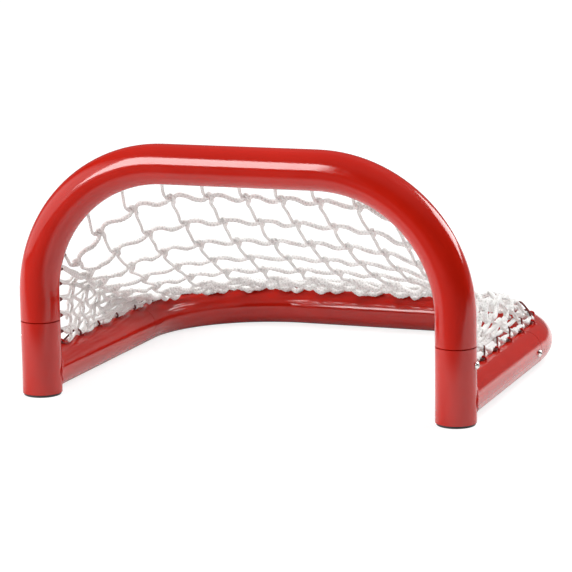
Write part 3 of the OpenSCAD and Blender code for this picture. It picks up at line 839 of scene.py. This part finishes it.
def floor_material():
    """A pale floor that takes the goal's shadow. To the eye it glows, up to white away from the
    goal. In the paint it is a white sweep that ends in front of the goal."""
    m, tree, bsdf = material("studio_floor")
    bsdf.inputs["Roughness"].default_value = 0.9
    bsdf.inputs["Specular IOR Level"].default_value = 0.1
    path = node(tree, "LightPath")
    at = node(tree, "NewGeometry").outputs["Position"]
    place = node(tree, "SeparateXYZ", {0: at})
    sweep = ramp(tree, math_node(tree, "ADD", place.outputs[1], 1.0),
                 [(0.50, grey(0.10)), (0.62, grey(0.88))])
    colour = node(tree, "MixRGB", {"Fac": path.outputs["Is Glossy Ray"], "Color1": (*grey(0.80), 1),
                                   "Color2": sweep})
    tree.links.new(colour.outputs[0], bsdf.inputs["Base Color"])
    mirrored = node(tree, "Emission", {"Color": sweep, "Strength": math_node(
        tree, "MULTIPLY", path.outputs["Is Glossy Ray"], 0.17)})
    lit = node(tree, "AddShader", {0: bsdf.outputs[0], 1: mirrored.outputs[0]})
    shadowed = node(tree, "BsdfDiffuse", {"Color": (*grey(0.26), 1)})
    distance = node(tree, "VectorMath", {0: at}, operation="LENGTH").outputs["Value"]
    glow = node(tree, "Emission", {"Strength": 1.0, "Color": ramp(
        tree, math_node(tree, "MULTIPLY", distance, 0.5), [(0.18, grey(0.83)), (0.45, grey(0.98))])})
    shown = node(tree, "AddShader", {0: shadowed.outputs[0], 1: glow.outputs[0]})
    both = node(tree, "MixShader", {0: seen_through(tree, path), 1: lit.outputs[0], 2: shown.outputs[0]})
    tree.links.new(both.outputs[0], tree.nodes["Material Output"].inputs[0])
    return m


def lighten(tree, one, other):
    return node(tree, "MixRGB", {"Fac": 1.0, "Color1": one, "Color2": other},
                blend_type="LIGHTEN").outputs[0]


def studio_world():
    """A pale room behind the goal and a dark one behind the camera, with a white wall on the left
    and a pale ceiling. What mirrors the room sees it dimmed above the horizon, but for that wall
    and ceiling. The backdrop is white to the eye, and white at the horizon in what mirrors it."""
    world = bpy.data.worlds.new("studio")
    world.use_nodes = True
    tree = world.node_tree
    tree.nodes.clear()
    path = node(tree, "LightPath")
    facing = node(tree, "TexCoord").outputs["Generated"]
    toward = node(tree, "SeparateXYZ", {0: facing})
    leftward = node(tree, "VectorMath", {0: facing, 1: (-0.937, -0.349, 0.0)}, operation="DOT_PRODUCT")
    room = ramp(tree, toward.outputs[1], [(0.0, grey(0.05)), (0.20, grey(0.12)), (0.38, grey(0.25)),
                                          (0.62, grey(0.6))])
    left = ramp(tree, leftward.outputs["Value"], [(0.70, grey(0.0)), (0.84, grey(1.4))])
    overhead = ramp(tree, toward.outputs[2], [(0.50, grey(0.0)), (0.88, grey(0.26))])
    low = ramp(tree, toward.outputs[2], [(0.0, grey(1.0)), (0.04, grey(0.12))])
    room = node(tree, "MixRGB", {"Fac": path.outputs["Is Glossy Ray"], "Color1": room, "Color2": low},
                blend_type="MULTIPLY").outputs[0]
    dome = lighten(tree, lighten(tree, room, left), overhead)
    behind = math_node(tree, "MULTIPLY", math_node(tree, "GREATER_THAN", toward.outputs[1], 0.5), low)
    mirrored = math_node(tree, "MULTIPLY", path.outputs["Is Glossy Ray"], behind)
    white = math_node(tree, "MAXIMUM", seen_through(tree, path), mirrored)
    shown = node(tree, "MixRGB", {"Fac": white, "Color1": dome, "Color2": (1, 1, 1, 1)})
    back = node(tree, "Background", {"Color": shown.outputs[0], "Strength": 1.0})
    tree.links.new(back.outputs[0], node(tree, "OutputWorld").inputs[0])
    return world


corners = [(x * FLOOR_HALF, y * FLOOR_HALF, 0) for x, y in ((-1, -1), (1, -1), (1, 1), (-1, 1))]
floor = add_mesh("floor", corners, [(0, 1, 2, 3)])
floor.data.materials.append(floor_material())
bpy.context.scene.world = studio_world()


def softbox(name, at, target, size, power):
    """A rectangular lamp at a place, turned to its target."""
    lamp = bpy.data.lights.new(name, "AREA")
    lamp.shape, lamp.size, lamp.size_y, lamp.energy = "RECTANGLE", *size, power
    obj = bpy.data.objects.new(name, lamp)
    bpy.context.scene.collection.objects.link(obj)
    away = np.array(at, float) - np.array(target, float)
    z = unit(away)
    x = unit(np.cross([0, 0, 1], z))
    y = np.cross(z, x)
    obj.matrix_world = Matrix(((x[0], y[0], z[0], at[0]), (x[1], y[1], z[1], at[1]),
                               (x[2], y[2], z[2], at[2]), (0, 0, 0, 1)))
    return obj


# A key from the left, a faint fill and a top light, which don't show in the paint
for name, at, target, size, power in (
        ("key_bank", (-1.65, -1.75, 1.60), (0, -0.1, 0.1), (1.9, 1.5), 58),
        ("front_fill", (0.90, -2.40, 1.00), (0, 0, 0.1), (1.6, 1.4), 2),
        ("top_bank", (0.95, 0.70, 1.85), (0.05, 0.0, 0.0), (1.3, 1.3), 43)):
    softbox(name, at, target, size, power).visible_glossy = False
# A card and a rim light, which show in the paint only
for name, at, target, size, power in (
        ("card_strip", (-1.02, -1.94, 1.10), (-0.10, -0.19, 0.20), (1.10, 1.3), 58),
        ("rim_strip", (1.42, 1.30, 1.12), (0.17, -0.19, 0.15), (1.1, 1.0), 27)):
    softbox(name, at, target, size, power).visible_diffuse = False

# The camera of the photograph: its place, the azimuth and pitch of its view, its roll and lens
CAMERA_AT = np.array([0.86127, -2.38460, 0.57657])
AZIMUTH, PITCH, ROLL = (math.radians(a) for a in (20.433, 11.067, -0.847))
LENS, SENSOR, CLIP_END = 163.87, 36.0, 50.0

sa, ca, sp, cp = math.sin(AZIMUTH), math.cos(AZIMUTH), math.sin(PITCH), math.cos(PITCH)
ahead = np.array([-sa * cp, ca * cp, -sp])
level, upward = np.array([ca, sa, 0]), np.array([-sa * sp, ca * sp, cp])
right = level * math.cos(ROLL) + upward * math.sin(ROLL)
up = -level * math.sin(ROLL) + upward * math.cos(ROLL)
camera = bpy.data.cameras.new("photo_camera")
camera.lens, camera.sensor_width, camera.clip_end = LENS, SENSOR, CLIP_END
camera_object = bpy.data.objects.new("photo_camera", camera)
bpy.context.scene.collection.objects.link(camera_object)
camera_object.matrix_world = Matrix([[right[k], up[k], -ahead[k], CAMERA_AT[k]] for k in range(3)]
                                    + [[0, 0, 0, 1]])
bpy.context.scene.camera = camera_object
bpy.context.scene.view_settings.view_transform = "Standard"
